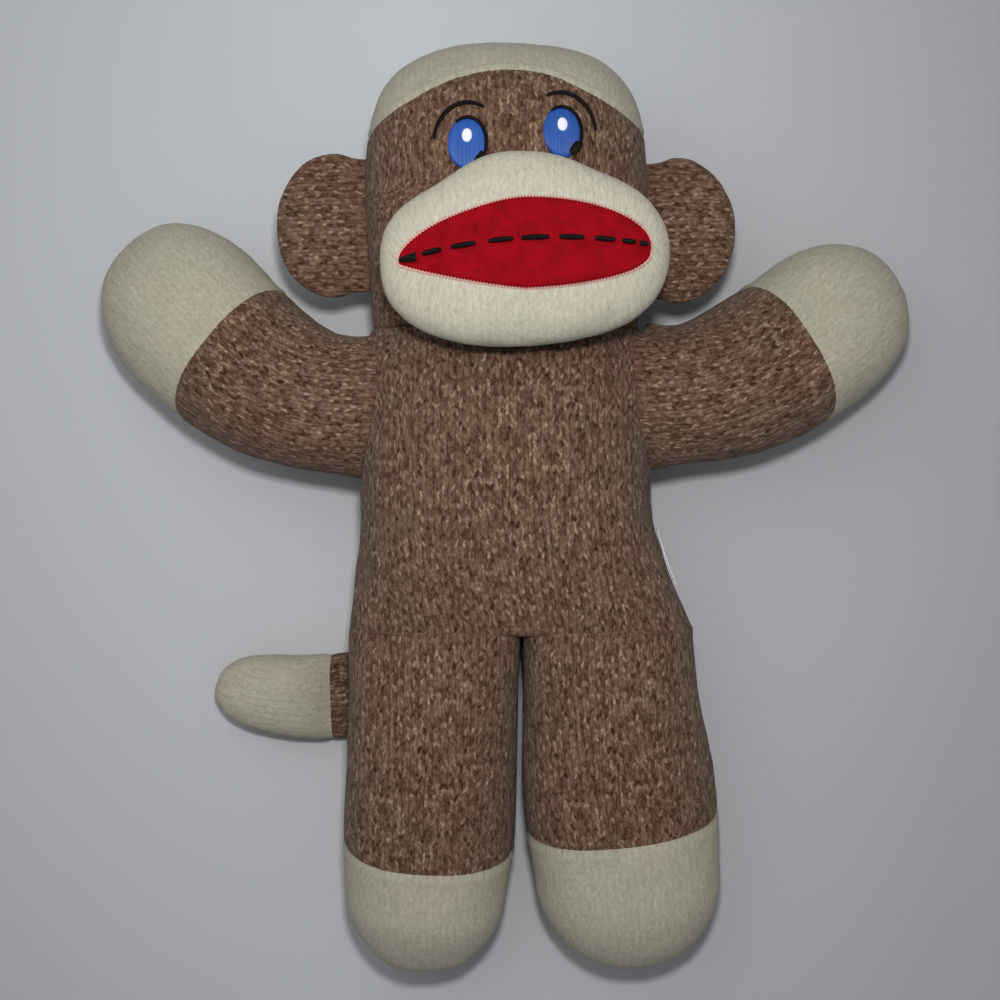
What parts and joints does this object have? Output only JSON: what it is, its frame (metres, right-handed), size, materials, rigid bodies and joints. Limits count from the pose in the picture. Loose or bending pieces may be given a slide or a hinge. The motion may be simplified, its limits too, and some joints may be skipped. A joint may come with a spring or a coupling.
{
  "type": "stuffed sock monkey doll",
  "caption": "Knitted sock monkey doll lying on its back: brown marl body, cream muzzle, cap, hands, feet and tail tip, red felt mouth and embroidered blue eyes",
  "frame": {"origin": "middle of the flat that the torso rests on, on the back of the doll", "axes": "+Y towards the top of the head, +Z out of the doll's chest (up, as it lies on its back), +X towards the doll's own left hand"},
  "size_m": [0.2961, 0.3343, 0.1152],
  "materials": {
    "brown_knit": "brown marl stocking stitch, matt and fuzzy",
    "cream_knit": "cream stocking stitch, matt",
    "red_felt": "red felt with a fuzzy cut edge",
    "blue_thread": "blue satin-stitch embroidery",
    "black_thread": "black embroidery thread",
    "white_thread": "white embroidery thread",
    "sewing_thread": "brown sewing thread",
    "fibre": "white polyester fibre stuffing",
    "label_tape": "blank white satin tape"
  },
  "bodies": {
    "torso": {"torso_front": "brown_knit", "torso_back": "brown_knit", "torso_filling": "fibre", "care_label": "label_tape", "right_leg_thread": "sewing_thread", "left_leg_thread": "sewing_thread", "tail_thread": "sewing_thread"},
    "neck": {"neck_thread": "sewing_thread"},
    "head": {"face_cover": "brown_knit", "nape_cover": "brown_knit", "crown_cap": "cream_knit", "muzzle_cover": "cream_knit", "head_filling": "fibre", "muzzle_filling": "fibre", "mouth": "red_felt", "mouth_stitch_1": "black_thread", "mouth_stitch_2": "black_thread", "mouth_stitch_3": "black_thread", "mouth_stitch_4": "black_thread", "mouth_stitch_5": "black_thread", "mouth_stitch_6": "black_thread", "mouth_stitch_7": "black_thread", "mouth_stitch_8": "black_thread", "mouth_stitch_9": "black_thread", "right_eye_rim": "black_thread", "left_eye_rim": "black_thread", "right_brow": "black_thread", "left_brow": "black_thread", "right_eye": "blue_thread", "left_eye": "blue_thread", "right_glint": "white_thread", "left_glint": "white_thread", "right_ear_thread": "sewing_thread", "left_ear_thread": "sewing_thread"},
    "right_ear": {"right_ear_cover": "brown_knit", "right_ear_filling": "fibre"},
    "right_shoulder": {"right_arm_thread": "sewing_thread"},
    "right_arm": {"right_arm_cover": "brown_knit", "right_hand": "cream_knit", "right_arm_filling": "fibre"},
    "right_leg": {"right_leg_cover": "brown_knit", "right_foot": "cream_knit", "right_leg_filling": "fibre"},
    "left_ear": {"left_ear_cover": "brown_knit", "left_ear_filling": "fibre"},
    "left_shoulder": {"left_arm_thread": "sewing_thread"},
    "left_arm": {"left_arm_cover": "brown_knit", "left_hand": "cream_knit", "left_arm_filling": "fibre"},
    "left_leg": {"left_leg_cover": "brown_knit", "left_foot": "cream_knit", "left_leg_filling": "fibre"},
    "tail": {"tail_cover": "brown_knit", "tail_end": "cream_knit", "tail_filling": "fibre"}
  },
  "joints": [
    {"name": "neck_turn", "type": "hinge", "parent": "torso", "child": "neck", "pos_m": [0, 0.053, 0.0429], "axis": [0, 1, 0], "range_deg": [-25, 25], "stiffness_Nm_per_rad": 0.05},
    {"name": "neck_nod", "type": "hinge", "parent": "neck", "child": "head", "pos_m": [0, 0.053, 0.01876], "axis": [-1, 0, 0], "range_deg": [0, 35], "stiffness_Nm_per_rad": 0.05},
    {"name": "right_shoulder_lower", "type": "hinge", "parent": "torso", "child": "right_shoulder", "pos_m": [-0.0512, 0.00172, 0.043], "axis": [0, 0, 1], "range_deg": [0, 60], "stiffness_Nm_per_rad": 0.02},
    {"name": "right_shoulder_swing", "type": "hinge", "parent": "right_shoulder", "child": "right_arm", "pos_m": [-0.0512, 0.0262, 0.06528], "axis": [0, 1, 0], "range_deg": [0, 75], "stiffness_Nm_per_rad": 0.02},
    {"name": "right_hip_bend", "type": "hinge", "parent": "torso", "child": "right_leg", "pos_m": [-0.026, -0.053, 0.07129], "axis": [-1, 0, 0], "range_deg": [0, 90], "stiffness_Nm_per_rad": 0.03},
    {"name": "right_ear_fold", "type": "hinge", "parent": "head", "child": "right_ear", "pos_m": [-0.0492, 0.09, 0.0498], "axis": [0, 1, 0], "range_deg": [0, 60], "stiffness_Nm_per_rad": 0.002},
    {"name": "left_shoulder_lower", "type": "hinge", "parent": "torso", "child": "left_shoulder", "pos_m": [0.0512, 0.0047, 0.043], "axis": [0, 0, -1], "range_deg": [0, 60], "stiffness_Nm_per_rad": 0.02},
    {"name": "left_shoulder_swing", "type": "hinge", "parent": "left_shoulder", "child": "left_arm", "pos_m": [0.0512, 0.0292, 0.06528], "axis": [0, -1, 0], "range_deg": [0, 75], "stiffness_Nm_per_rad": 0.02},
    {"name": "left_hip_bend", "type": "hinge", "parent": "torso", "child": "left_leg", "pos_m": [0.03684, -0.053, 0.07129], "axis": [-1, 0, 0], "range_deg": [0, 90], "stiffness_Nm_per_rad": 0.03},
    {"name": "left_ear_fold", "type": "hinge", "parent": "head", "child": "left_ear", "pos_m": [0.0492, 0.0883, 0.0498], "axis": [0, -1, 0], "range_deg": [0, 60], "stiffness_Nm_per_rad": 0.002},
    {"name": "tail_fold", "type": "hinge", "parent": "torso", "child": "tail", "pos_m": [-0.003, -0.043, 0], "axis": [1, 0, 0], "range_deg": [0, 85], "stiffness_Nm_per_rad": 0.004}
  ]
}
